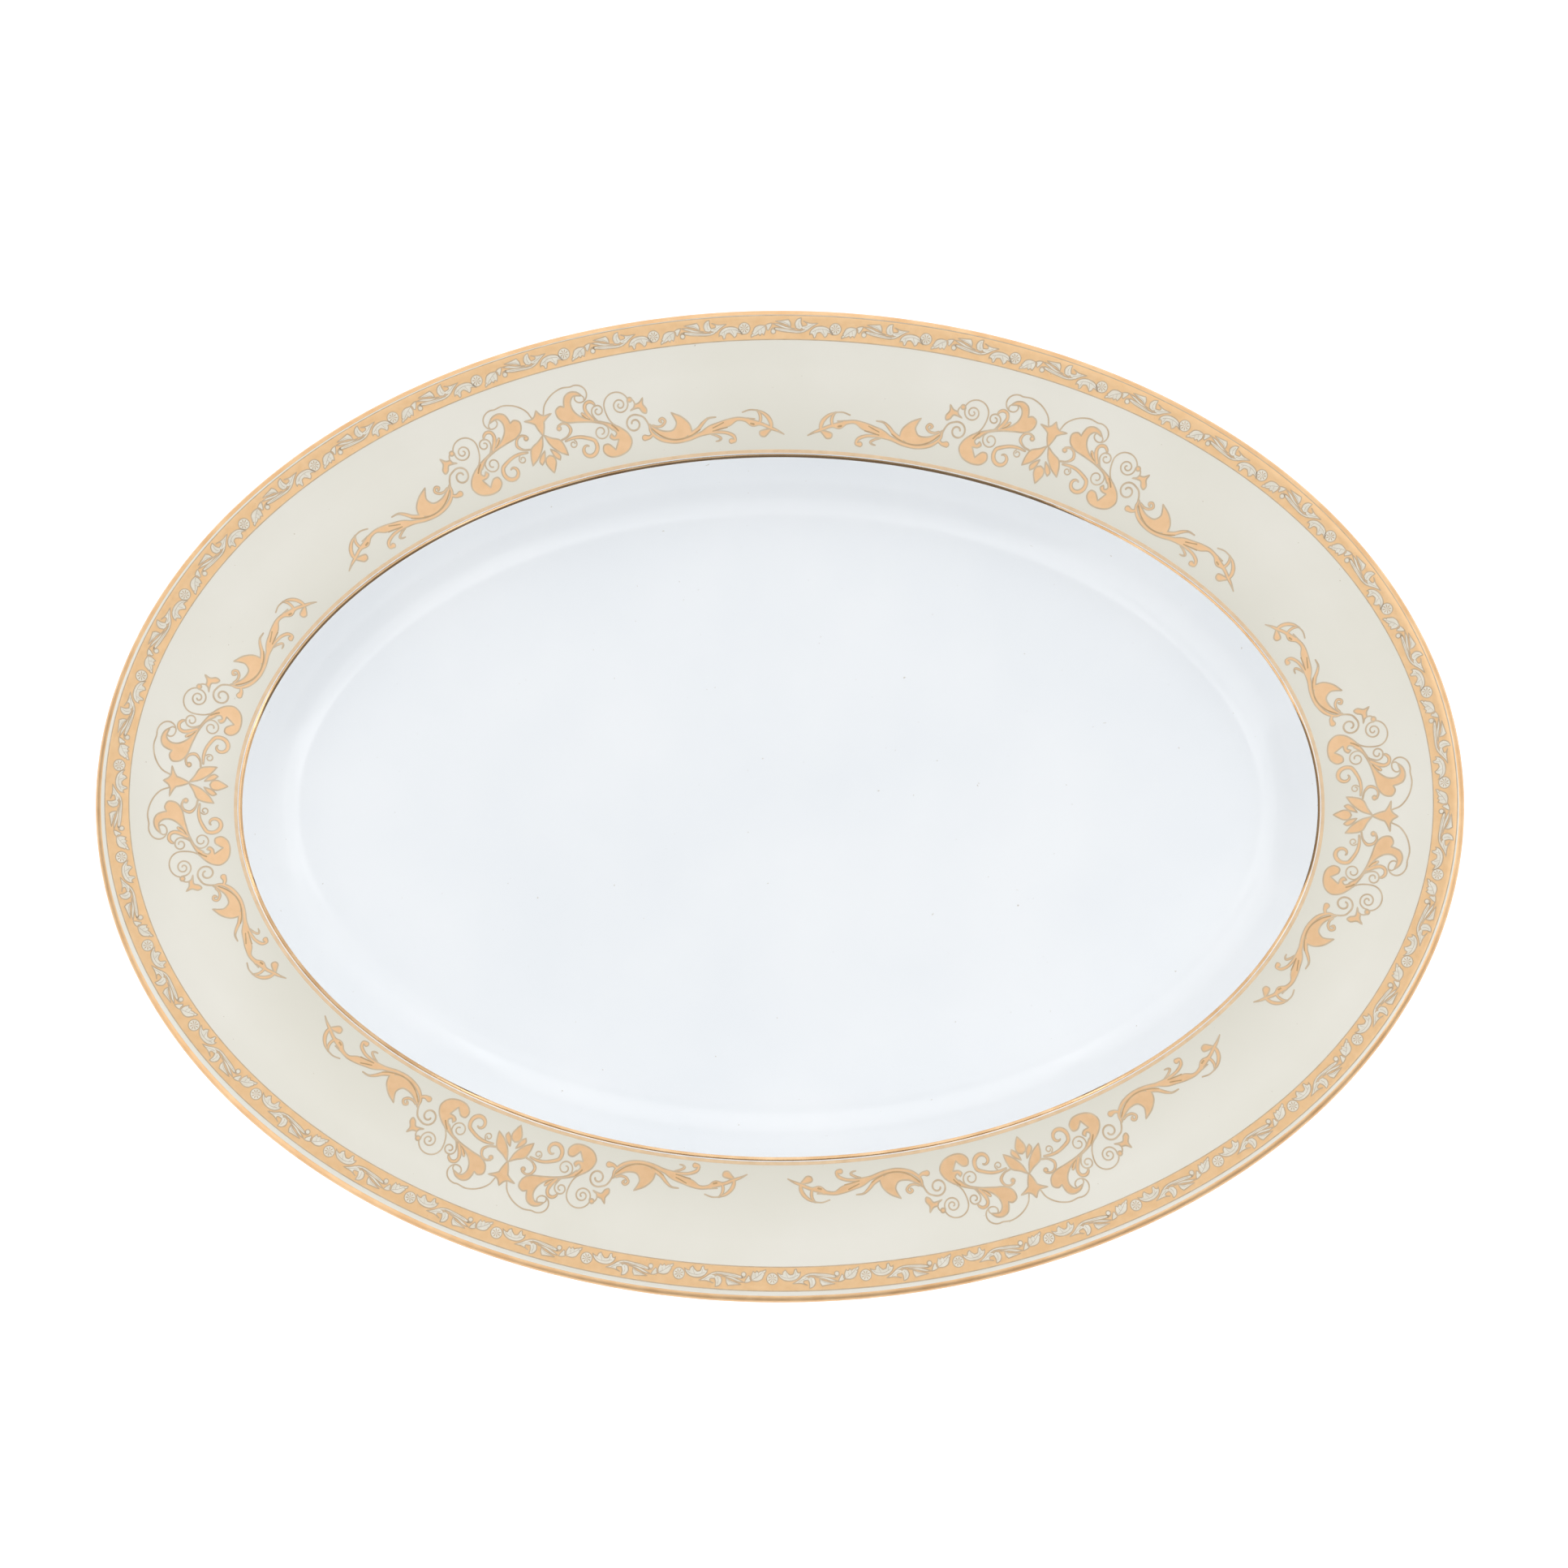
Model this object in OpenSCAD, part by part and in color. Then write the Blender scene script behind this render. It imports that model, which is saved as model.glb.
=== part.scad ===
// Oval china serving platter with a gilded, ornamented rim.
// +X runs along the platter's length, +Y across it, +Z up.
// The origin is the centre of the oval, on the surface that the foot stands on.
//
// Every curve of the platter is parallel to the lip, so a place on it has two
// coordinates: t, the lip ellipse's own angle, and v, the distance inwards
// from the lip in plan. Ornament is laid out in (u, v), where u is the
// distance clockwise round the rim.

/* [Platter] */
// Length from lip to lip
platter_l = 360; // [340:1:400]
// Width from lip to lip
platter_w = 261; // [250:1:290]
// Height of the rim's highest line above the table
platter_h = 30; // [26:0.5:34]

/* [Rim] */
// Width of the rim, from the lip to the verge where the well begins
rim_w = 38; // [36:0.5:42]
// How far the rim falls from its crown to the verge
rim_drop = 9.4; // [6:0.2:11]
// Width of the roll from the crown out to the lip
roll_w = 3; // [2.4:0.1:3.6]
// How far the lip's edge lies below the crown
roll_drop = 1.8; // [1.2:0.1:2.4]
// Thickness of the porcelain at the rim
rim_t = 3.6; // [3.2:0.1:4.4]

/* [Well] */
// Width in plan of the wall between the verge and the floor
wall_run = 16.5; // [14:0.5:20]
// Thickness of the floor
floor_t = 4; // [3.4:0.1:5]

/* [Foot] */
// Height of the foot ring
foot_h = 3; // [2:0.1:4]
// Thickness of the foot ring
foot_w = 4.6; // [3.4:0.1:6]
// Distance in plan from the floor's edge to the foot ring's outer face
foot_inset = 4; // [2:0.5:8]

/* [Decoration] */
// Thickness of the clear glaze that lines the well and the underside
glaze_t = 0.1; // [0.06:0.02:0.2]
// Thickness of the cream enamel on the rim
enamel_t = 0.1; // [0.06:0.02:0.2]
// Thickness of one layer of gold or printed colour
gold_t = 0.08; // [0.04:0.02:0.12]
// Width of the pale strip between the gilt edge and the border
strip_w = 1.2; // [0.8:0.1:1.6]
// Width of the gold border band
border_w = 6.3; // [6:0.1:6.6]
// Width of the thin line along each edge of the border
line_w = 0.25; // [0.2:0.05:0.4]
// Number of times that the border's pattern repeats
border_repeats = 39; // [36:1:40]

/* [Hidden] */

// Number of flat facets round the oval
segments = 72;
// Number of scroll motifs on the rim, which NODES names one by one
motif_count = 6;
half_l = platter_l / 2;
half_w = platter_w / 2;

// Heights and the distances v of the main lines
edge_z = platter_h - roll_drop;
verge_z = platter_h - rim_drop;
crease_v = rim_w + wall_run;
recess_z = foot_h;
floor_z = foot_h + floor_t;
under_roll_v = 2.2;
foot_v = crease_v + foot_inset;
gilt_v = 1;
border_v = gilt_v + strip_w;
border_end_v = border_v + border_w;
enamel_v = rim_w - 1.2;
motif_v = 18.4;
rosette_v = 5.3;

// Shape of the curves: 1 is straight, and larger numbers curve more
rim_power = 1.3;
wall_power = 2.2;
outside_power = 1.9;

// The wall meets the floor at a slight angle, which shows as a soft crease
wall_straight_part = 0.15;

// Points of the section, as [v, z]
function rim_point(v) =
    [v, platter_h - rim_drop * pow((v - roll_w) / (rim_w - roll_w), rim_power)];
function fall(w, power, straight) =
    (1 - straight) * pow(1 - w, power) + straight * (1 - w);
function wall_point(w) =
    [rim_w + w * wall_run, floor_z + (verge_z - floor_z) * fall(w, wall_power, wall_straight_part)];
function roll_point(angle) =
    angle <= 90
    ? [roll_w * (1 - sin(angle)), edge_z + roll_drop * cos(angle)]
    : [under_roll_v * (1 - sin(angle)), edge_z + (rim_t - roll_drop) * cos(angle)];
outside_start = [rim_w - 3.5, verge_z - 3.2];
function outside_point(w) =
    [outside_start[0] + w * (foot_v - outside_start[0]),
     recess_z + (outside_start[1] - recess_z) * fall(w, outside_power, 0.1)];

function roll_angle(v) = asin(1 - v / roll_w);
upper_lip = [for (v = [0, gilt_v / 3, gilt_v, border_v, roll_w]) roll_point(roll_angle(v))];
upper_rim = [for (v = [border_end_v, 22, enamel_v]) rim_point(v)];
upper_wall = [for (w = [0, 0.2, 0.45, 0.72, 1]) wall_point(w)];
upper = concat(upper_lip, upper_rim, upper_wall);
lower = concat(
    [for (angle = [125, 160]) roll_point(angle)],
    [[under_roll_v, edge_z - rim_t + roll_drop], [14, rim_point(14)[1] - rim_t - 0.4]],
    [for (w = [0, 0.2, 0.5, 1]) outside_point(w)]);
function upper_z(v) = lookup(v, upper);

// Plan position of the point at t, v
function normal_length(t) = norm([half_w * cos(t), half_l * sin(t)]);
function plan(t, v) =
    let (n = normal_length(t))
    [cos(t) * (half_l - v * half_w / n), sin(t) * (half_w - v * half_l / n)];
function on_platter(t, p, lift = 0) = concat(plan(t, p[0]), [p[1] + lift]);

// Distance clockwise along the parallel curve at v, as a table of [distance, t]
arc_step = 1;
function arc_speed(t, v) =
    let (n = normal_length(t))
    n - v * half_l * half_w / (n * n);
function arc_table(v) =
    [for (t = 0, s = 0; t <= 540; s = s + arc_speed(t + arc_step / 2, v) * arc_step * PI / 180,
        t = t + arc_step) [s, t]];
motif_arc = arc_table(motif_v);
border_arc = arc_table(rosette_v);
function around(arc) = lookup(360, [for (row = arc) [row[1], row[0]]]);
function angle_at(arc, s) =
    let (whole = around(arc), rest = s - whole * floor(s / whole))
    -lookup(rest, arc);

// A closed solid swept round the oval from a closed loop of [v, z] points
module ring_solid(loop) {
    n = len(loop);
    polyhedron(
        points = [for (i = [0 : segments - 1]) for (p = loop) on_platter(i * 360 / segments, p)],
        faces = [for (i = [0 : segments - 1]) for (j = [0 : n - 1])
            let (next = (i + 1) % segments, k = (j + 1) % n)
            [i * n + j, i * n + k, next * n + k, next * n + j]]);
}

// A closed solid swept from an open line of [v, z] points, top first, whose
// two ends are closed by flat floors
module dish_solid(line) {
    n = len(line);
    polyhedron(
        points = [for (i = [0 : segments - 1]) for (p = line) on_platter(i * 360 / segments, p)],
        faces = concat(
            [for (i = [0 : segments - 1]) for (j = [0 : n - 2])
                let (next = (i + 1) % segments)
                [i * n + j, next * n + j, next * n + j + 1, i * n + j + 1]],
            [[for (i = [segments - 1 : -1 : 0]) i * n]],
            [[for (i = [0 : segments - 1]) i * n + n - 1]]));
}

// A flat coat over the stretch of the upper surface between two distances v
module rim_band(from_v, to_v, lift, thick) {
    between = [for (p = upper) if (p[0] > from_v + 0.01 && p[0] < to_v - 0.01) p[0]];
    stations = concat([from_v], between, [to_v]);
    last = len(stations) - 1;
    ring_solid(concat(
        [for (v = stations) [v, upper_z(v) + lift + thick]],
        [for (i = [last : -1 : 0]) [stations[i], upper_z(stations[i]) + lift]]));
}

// Puts a flat ornament on the rim: its own +X then runs clockwise along the
// rim, its +Y towards the lip, and its z = 0 plane lies on the enamel
module on_rim(arc, s, v) {
    t = angle_at(arc, s);
    outward = atan2(half_l * sin(t), half_w * cos(t));
    slope = atan2(upper_z(v - 1) - upper_z(v + 1), 2);
    translate(on_platter(t, [v, upper_z(v)], enamel_t))
        rotate([0, 0, outward - 90])
            rotate([slope, 0, 0])
                children();
}

// The applied border was laid by hand, so its pattern closes with a slow drift
border_start = 18.2;
border_drift = 2.35;
function repeat_at(k) =
    border_start + around(border_arc) * k / border_repeats
    + border_drift * (1 - cos(360 * k / border_repeats));
module border_each() {
    for (k = [0 : border_repeats - 1])
        on_rim(border_arc, repeat_at(k) + $along, $across)
            translate([0, 0, gold_t]) children();
}

// A leaf of the border from its outline, whose points are [along, v]
module border_leaf(outline) {
    mid = (min([for (p = outline) p[0]]) + max([for (p = outline) p[0]])) / 2;
    mid_v = (min([for (p = outline) p[1]]) + max([for (p = outline) p[1]])) / 2;
    $along = mid;
    $across = mid_v;
    border_each()
        linear_extrude(gold_t)
            polygon([for (p = outline) [p[0] - mid, mid_v - p[1]]]);
}

leaf_outline = [[2.2, 6.2], [3, 5], [4, 4.6], [5.5, 4.9], [5.4, 6.2], [5.1, 7.1],
    [4.4, 6.8], [3.6, 7.3], [2.8, 7], [1.7, 7.7], [1.8, 7]];
bud_outline = [[5.6, 4.5], [7.3, 4.1], [6.9, 5], [6.3, 6], [5.9, 5.4]];
scroll_outline = [[7.6, 4.1], [9.5, 4.5], [11.6, 5.2], [10.9, 4.3], [8.3, 3.6], [11.6, 3.3],
    [12.2, 3.9], [12.4, 4.8], [13.6, 4.4], [13.9, 3.2], [14.8, 2.9], [14.9, 4.7],
    [16.8, 4.5], [15.6, 3.6], [19.2, 4.1], [17.2, 5.4], [15.4, 6.4], [11.4, 6.3],
    [8.3, 5.8], [8.4, 5], [11, 5.3]];
crescent_outline = [[17.2, 7], [17.5, 6], [18.8, 4.9], [20.2, 4.6], [21.8, 5], [23.4, 6.8],
    [22, 6.4], [21.3, 7.5], [20.4, 6.4], [19.4, 6.4], [18.4, 7.7], [17.9, 6.8]];

// Plan outline of a scroll stroke, whose points are [u, v, width], seen from
// above with the lip at the top; side = -1 mirrors it
function stroke_edge(row, i, sign) =
    let (before = row[max(i - 1, 0)], after = row[min(i + 1, len(row) - 1)],
         run = [after[0] - before[0], after[1] - before[1]],
         across = [run[1], -run[0]] / norm(run))
    [row[i][0] + sign * across[0] * row[i][2] / 2, row[i][1] + sign * across[1] * row[i][2] / 2];
function stroke_outline(row) =
    let (last = len(row) - 1)
    concat([for (i = [0 : last]) stroke_edge(row, i, 1)],
        [for (i = [last : -1 : 0]) stroke_edge(row, i, -1)]);
module stroke(s, v_shift, side, row) {
    polygon([for (uv = stroke_outline(row))
        plan(angle_at(motif_arc, s + side * uv[0]), uv[1] + v_shift)]);
}

// Strokes of one half of the scroll motif, from its centre outwards
half_strokes = [
    // Tendril that curls under the lip
    [[1.7, 20.4, 0.5], [3.2, 17.2, 0.6], [8, 15.3, 0.6], [12.7, 15.9, 0.6], [13.8, 18.6, 0.6],
        [11.2, 19.7, 0.5]],
    // Hooked leaf inside the tendril
    [[12.3, 17.6, 0.5], [10.2, 17.2, 0.8], [8.7, 18.4, 1.2], [8.3, 20.6, 1.8], [11.4, 23.6, 0.6]],
    // Outer side of the heart, running on as the main stem
    [[6.6, 20, 0.5], [5.2, 20.9, 0.7], [6.1, 23.4, 0.8], [12, 25.4, 0.7], [17, 26.9, 0.5]],
    // Loop that ends in a bead
    [[18.5, 26.1, 0.5], [17.9, 22.4, 0.7], [20.3, 19.6, 0.7], [23.4, 20.2, 0.7], [24.9, 21.8, 1]],
    // Scroll that springs from the stem beside the centre
    [[4.6, 25.2, 0.8], [6.3, 24.3, 0.6], [7.3, 26, 0.6], [5.2, 28, 0.4]],
    // Long lower scroll
    [[6, 28.7, 0.5], [10.4, 28.9, 0.8], [13.6, 31.2, 1.1], [12.6, 34.2, 0.8], [9.6, 33.8, 0.6],
        [9, 31.7, 0.5]],
    // Comma leaf
    [[18.6, 27.8, 0.6], [21.4, 29.9, 2.4], [22.2, 32.4, 2.8], [20, 34.5, 1.8], [16.2, 33.9, 1.2]],
    // Spiral beside the comma leaf
    [[28.7, 28.3, 0.5], [26.4, 26.2, 0.6], [23.2, 27.6, 0.6], [24.1, 29.8, 0.6], [26.2, 28.8, 0.5]],
    // Branch that runs along the verge to a bulb
    [[28.4, 29, 0.5], [27.6, 32.2, 1.2], [33, 34, 0.8], [39, 34.6, 0.8], [45, 33.4, 0.8],
        [51.6, 34.9, 1.2]],
    // Pointed leaf
    [[35.6, 27.2, 0.4], [38.2, 31, 3.2], [34.6, 32.2, 1.6], [30.4, 29.9, 0.7]],
    // Stem that ends the half motif
    [[42.6, 32.6, 0.5], [46.8, 31.5, 1.1], [53, 30.1, 0.9], [59, 31.2, 0.8], [65.4, 34, 0.4]],
    // End sprig
    [[54.8, 28.2, 0.4], [58.4, 28.2, 0.7], [61.4, 29.6, 0.9], [62.9, 31.8, 0.5]],
];
// Strokes that lie on the motif's own centre line
centre_strokes = [
    [[0, 19.2, 0.5], [0, 22, 2.4], [0, 24.6, 1.2], [0, 26, 0.5]],
    [[0, 31, 0.5], [0, 32.8, 2], [0, 35.6, 0.5]],
];

// Each motif was set down by hand, so it lies a little off its true place
motif_shift = [1.1, 3.3, 2.2, 6, 6.8, 1];
motif_v_shift = [-0.4, -1.3, 0, -0.6, -1, -0.6];
motif_colour = [0.93, 0.78, 0.6];

module scroll_motif(k) {
    s = around(motif_arc) * (k - 1) / motif_count + motif_shift[k - 1];
    v_shift = motif_v_shift[k - 1];
    color(motif_colour)
        resize([0, 0, 0])
            intersection() {
                rim_band(border_end_v, enamel_v, enamel_t, gold_t);
                linear_extrude(platter_h + 1) {
                    for (side = [-1, 1]) for (row = half_strokes) stroke(s, v_shift, side, row);
                    for (row = centre_strokes) stroke(s, v_shift, 1, row);
                }
            }
}

// Porcelain body: rim, verge, well and underside, fired as one piece
module platter_body() {
    line = concat([for (i = [len(upper) - 1 : -1 : 0]) upper[i]], lower);
    color([0.94, 0.95, 0.97]) dish_solid(line);
}

module foot_outline(v) {
    polygon([for (i = [0 : segments - 1]) plan(i * 360 / segments, v)]);
}

// Foot ring, whose bare underside is the only part that touches the table
module foot_ring() {
    color([0.9, 0.89, 0.86])
        linear_extrude(foot_h)
            difference() {
                foot_outline(foot_v);
                foot_outline(foot_v + foot_w);
            }
}

// Clear glaze over the wall and the floor of the well
module well_glaze() {
    wall = [for (i = [len(upper_wall) - 1 : -1 : 0]) upper_wall[i]];
    coat = concat(
        [for (p = wall) p + [0, glaze_t]],
        upper_wall);
    color([0.93, 0.95, 0.98]) dish_solid(coat);
}

// Clear glaze over the underside, from the gilding down to the foot ring
module underside_glaze() {
    covered = [for (i = [1 : len(lower) - 1]) lower[i]];
    last = len(covered) - 1;
    color([0.92, 0.93, 0.93])
        ring_solid(concat(
            covered,
            [for (i = [last : -1 : 0]) covered[i] - [0, glaze_t]]));
}

// Cream enamel that covers the rim
module rim_enamel() {
    color([0.9, 0.89, 0.85]) rim_band(gilt_v, enamel_v, 0, enamel_t);
}

// Gold wrapped over the lip
module gilt_edge() {
    angles = [125, 90, roll_angle(gilt_v / 3), roll_angle(gilt_v)];
    outside = [for (angle = angles) roll_point(angle) + enamel_t * [-sin(angle), cos(angle)]];
    inside = [for (i = [len(angles) - 1 : -1 : 0]) roll_point(angles[i])];
    color([0.72, 0.6, 0.42]) ring_solid(concat(outside, inside));
}

// Matt gold ground of the border band
module border_ground() {
    color([0.93, 0.77, 0.6]) rim_band(border_v, border_end_v, enamel_t, gold_t);
}

// Thin lines that bound the border band
module border_line_outer() {
    color([0.76, 0.66, 0.56]) rim_band(border_v - line_w, border_v, enamel_t, gold_t);
}
module border_line_inner() {
    color([0.8, 0.72, 0.64]) rim_band(border_end_v, border_end_v + line_w, enamel_t, gold_t);
}

// Rosettes between the repeats of the border
module border_rosettes() {
    rosette_r = 1.5;
    $along = 0;
    $across = rosette_v;
    color([0.83, 0.79, 0.75])
        border_each()
            cylinder(h = gold_t, r = rosette_r, $fn = 24);
}

// Serrated leaves of the border
module border_leaves() {
    color([0.87, 0.86, 0.82]) border_leaf(leaf_outline);
}

// Buds and curls between the leaves and the scrolls
module border_curls() {
    curl_r = 0.75;
    $along = 7.6;
    $across = 6.2;
    color([0.86, 0.84, 0.8]) {
        border_leaf(bud_outline);
        border_each()
            cylinder(h = gold_t, r = curl_r, $fn = 24);
    }
}

// Long scrolls with flame leaves
module border_scrolls() {
    color([0.85, 0.8, 0.76]) border_leaf(scroll_outline);
}

// Arched leaves before each rosette
module border_crescents() {
    color([0.86, 0.85, 0.8]) border_leaf(crescent_outline);
}

// Matt gold line along the edge of the enamel
module verge_line_matte() {
    color([0.88, 0.78, 0.65]) rim_band(enamel_v - 0.9, enamel_v, enamel_t, gold_t);
}

// Burnished gold line on the verge itself
module verge_line_bright() {
    color([0.5, 0.4, 0.3]) rim_band(rim_w - 0.8, rim_w, 0, gold_t);
}

module scroll_motif_1() { scroll_motif(1); }
module scroll_motif_2() { scroll_motif(2); }
module scroll_motif_3() { scroll_motif(3); }
module scroll_motif_4() { scroll_motif(4); }
module scroll_motif_5() { scroll_motif(5); }
module scroll_motif_6() { scroll_motif(6); }

platter_body();
foot_ring();
well_glaze();
underside_glaze();
rim_enamel();
gilt_edge();
border_ground();
border_line_outer();
border_line_inner();
border_rosettes();
border_leaves();
border_curls();
border_scrolls();
border_crescents();
verge_line_matte();
verge_line_bright();
scroll_motif_1();
scroll_motif_2();
scroll_motif_3();
scroll_motif_4();
scroll_motif_5();
scroll_motif_6();
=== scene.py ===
"""Looks of an oval china serving platter: porcelain, enamel, gilding and printed scrollwork.

Everything is worked out in millimetres and turned into metres when a mesh is made. A place on
the platter has two coordinates: s or u, the distance clockwise round the rim, and v, the distance
inwards from the lip in plan. A place on its section has one: q, the distance along the section
from the lip's outermost line, positive over the top and negative underneath.
"""

import bmesh
import bpy
import numpy as np
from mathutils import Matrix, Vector
from mathutils.geometry import delaunay_2d_cdt


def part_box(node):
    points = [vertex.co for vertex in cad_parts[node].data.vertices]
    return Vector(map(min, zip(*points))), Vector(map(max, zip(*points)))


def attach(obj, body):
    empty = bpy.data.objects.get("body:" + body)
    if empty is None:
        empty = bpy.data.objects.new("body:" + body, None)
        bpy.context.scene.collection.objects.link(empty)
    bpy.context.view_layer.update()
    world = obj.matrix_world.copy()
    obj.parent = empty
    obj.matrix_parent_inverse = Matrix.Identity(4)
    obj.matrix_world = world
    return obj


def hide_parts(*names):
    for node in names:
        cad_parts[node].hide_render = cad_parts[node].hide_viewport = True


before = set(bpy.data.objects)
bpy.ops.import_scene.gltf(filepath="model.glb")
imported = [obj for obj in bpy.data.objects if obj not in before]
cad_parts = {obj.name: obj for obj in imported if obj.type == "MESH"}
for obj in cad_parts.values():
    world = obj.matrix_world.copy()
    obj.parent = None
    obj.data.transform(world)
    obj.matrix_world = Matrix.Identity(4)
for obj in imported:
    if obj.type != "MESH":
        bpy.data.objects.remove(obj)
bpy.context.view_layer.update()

MM = 0.001
ROOT = "root"


# ---------------------------------------------------------------------------
# Sizes, read from the frame where it has them, in millimetres
# ---------------------------------------------------------------------------

def node_box(node):
    """Lowest and highest corner of a CAD node, in millimetres."""
    low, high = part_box(node)
    return low / MM, high / MM


BODY_HIGH = node_box("platter_body")[1]
HALF_L = BODY_HIGH.x
HALF_W = BODY_HIGH.y
CROWN_Z = BODY_HIGH.z
WELL_LOW, WELL_HIGH = node_box("well_glaze")
FOOT_HIGH = node_box("foot_ring")[1]

RIM_W = HALF_L - WELL_HIGH.x
FLOOR_Z = WELL_LOW.z
FOOT_V = HALF_L - FOOT_HIGH.x
FOOT_H = FOOT_HIGH.z
ENAMEL_T = node_box("rim_enamel")[1].z - CROWN_Z
ENAMEL_V = RIM_W - 1.2
GILT_V = HALF_L - node_box("rim_enamel")[1].x
BORDER_V = HALF_L - node_box("border_ground")[1].x
BORDER_END_V = HALF_L - node_box("border_line_inner")[1].x

# the roll runs from the crown, the rim's highest line, out to the lip and back under it
ROLL_W = 3.0
ROLL_DROP = 1.8
UNDER_ROLL_V = 2.2
EDGE_Z = CROWN_Z - ROLL_DROP
RIM_DROP = 9.4
VERGE_Z = CROWN_Z - RIM_DROP
WALL_RUN = 16.5
CREASE_V = RIM_W + WALL_RUN
FLOOR_V = CREASE_V + 9
FOOT_W = 4.6

# thickness of the china at the lip, partway over the rim, and where the underside turns down
RIM_T = 3.6
PARTWAY_V = 14
PARTWAY_T = 4.0
BEND_V = RIM_W - 3.5
BEND_T = 4.4

# the upper surface is averaged over a reach, which grows at the verge and again at the crease
SOFT_V = [RIM_W - 4, RIM_W - 0.8, RIM_W + 0.8, RIM_W + 5, CREASE_V - 5.5, CREASE_V + 5.5]
SOFT_REACH = [0, 0.7, 0.7, 0.6, 2.6, 2.6]
UNDER_REACH = 1.6

# the motifs' middle line
MOTIF_V = 18.4

SEGMENTS = 720
SHARP_DEG = 35


# ---------------------------------------------------------------------------
# The platter's section and surface
# ---------------------------------------------------------------------------

def fall(w, power, straight):
    """A fall from 1 to 0 as w goes from 0 to 1, steep first, and straight at the end."""
    return (1 - straight) * (1 - w) ** power + straight * (1 - w)


def sharp_upper_z(v):
    """Height of the upper surface before its verge and crease are softened."""
    roll = EDGE_Z + ROLL_DROP * np.sqrt(1 - (1 - np.clip(v / ROLL_W, 0, 1)) ** 2)
    along_rim = np.clip((v - ROLL_W) / (RIM_W - ROLL_W), 0, None)
    rim = CROWN_Z - RIM_DROP * along_rim ** 1.3
    down_wall = np.clip((v - RIM_W) / WALL_RUN, 0, 1)
    wall = FLOOR_Z + (VERGE_Z - FLOOR_Z) * fall(down_wall, 2.2, 0.15)
    return np.where(v < ROLL_W, roll, np.where(v < RIM_W, rim, wall))


def upper_z(v):
    """Height of the upper surface, softened a little on the verge and more in the crease."""
    v = np.asarray(v, float)
    reach = np.interp(v, SOFT_V, SOFT_REACH)
    return np.mean([sharp_upper_z(v + reach * k) for k in np.linspace(-1, 1, 15)], axis=0)


def under_z(v):
    """Height of the underside from the lip to the foot ring, before its bend is softened."""
    along = np.clip(v, UNDER_ROLL_V, BEND_V)
    thick = np.interp(along, [UNDER_ROLL_V, PARTWAY_V, BEND_V], [RIM_T, PARTWAY_T, BEND_T])
    down = np.clip((v - BEND_V) / (FOOT_V - BEND_V), 0, 1)
    bend_z = upper_z(BEND_V) - BEND_T
    wall = FOOT_H + (bend_z - FOOT_H) * fall(down, 1.9, 0.1)
    return np.where(v < BEND_V, upper_z(along) - thick, wall)


def soft_under_z(v):
    """Height of the underside with its bend softened."""
    return np.mean([under_z(v + UNDER_REACH * k) for k in np.linspace(-1, 1, 15)], axis=0)


def body_section():
    """The body's section as [v, z] rows, from the well's floor over the lip to the foot.
    Its points are closest on the verge and round the lip."""
    floor = np.linspace(FLOOR_V, CREASE_V + 4, 5)
    wall = np.linspace(CREASE_V + 3.5, RIM_W + 2, 46)
    verge = np.linspace(RIM_W + 1.9, RIM_W - 2, 40)
    rim = np.linspace(RIM_W - 2.4, ROLL_W + 0.4, 60)
    top_v = np.concatenate([floor, wall, verge, rim])
    top = np.stack([top_v, upper_z(top_v)], 1)
    angle = np.radians(np.linspace(0, 90, 19))
    roll = np.stack([ROLL_W * (1 - np.sin(angle)), EDGE_Z + ROLL_DROP * np.cos(angle)], 1)
    angle = np.radians(np.linspace(95, 180, 15))
    tuck = np.stack([UNDER_ROLL_V * (1 - np.sin(angle)),
                     EDGE_Z + (RIM_T - ROLL_DROP) * np.cos(angle)], 1)
    under_v = np.linspace(UNDER_ROLL_V + 2, FOOT_V - 1.2, 70)
    under = np.stack([under_v, soft_under_z(under_v)], 1)
    return np.concatenate([top, roll, tuck, under])


def foot_section():
    """The glazed flanks of the foot, as [v, z] rows, from the outside to the recess."""
    inner_v = FOOT_V + FOOT_W
    return np.array([
        [FOOT_V - 0.55, FOOT_H + 0.12], [FOOT_V - 0.15, FOOT_H - 0.25], [FOOT_V, FOOT_H - 0.8],
        [FOOT_V + 0.08, FOOT_H * 0.4], [FOOT_V + 0.16, FOOT_H * 0.26],
        [FOOT_V + 0.3, FOOT_H * 0.24],
        [inner_v - 0.3, FOOT_H * 0.24], [inner_v - 0.16, FOOT_H * 0.26],
        [inner_v - 0.08, FOOT_H * 0.4], [inner_v, FOOT_H - 0.8], [inner_v + 0.2, FOOT_H - 0.2],
        [inner_v + 0.7, FOOT_H + 0.1], [inner_v + 1.6, FOOT_H + 0.15], [inner_v + 4, FOOT_H + 0.15],
    ])


SECTION = body_section()
SECTION_Q = np.concatenate([[0], np.cumsum(np.hypot(*np.diff(SECTION, axis=0).T))])
SECTION_Q = SECTION_Q[np.argmin(SECTION[:, 0])] - SECTION_Q
SECTION_RUN = np.gradient(SECTION, SECTION_Q, axis=0)
SECTION_NORMAL = np.stack([-SECTION_RUN[:, 1], SECTION_RUN[:, 0]], 1)
SECTION_NORMAL /= np.hypot(*SECTION_RUN.T)[:, None]


def q_at(v):
    """Distance along the section to the point of the upper surface at v."""
    on_top = SECTION_Q >= 0
    return np.interp(v, SECTION[on_top, 0][::-1], SECTION_Q[on_top][::-1])


def section_at(q, lift):
    """[v, z] at distance q along the section, lifted off the surface."""
    order = slice(None, None, -1)
    columns = [SECTION[:, 0], SECTION[:, 1], SECTION_NORMAL[:, 0], SECTION_NORMAL[:, 1]]
    v, z, nv, nz = [np.interp(q, SECTION_Q[order], column[order]) for column in columns]
    return v + nv * lift, z + nz * lift


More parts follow.
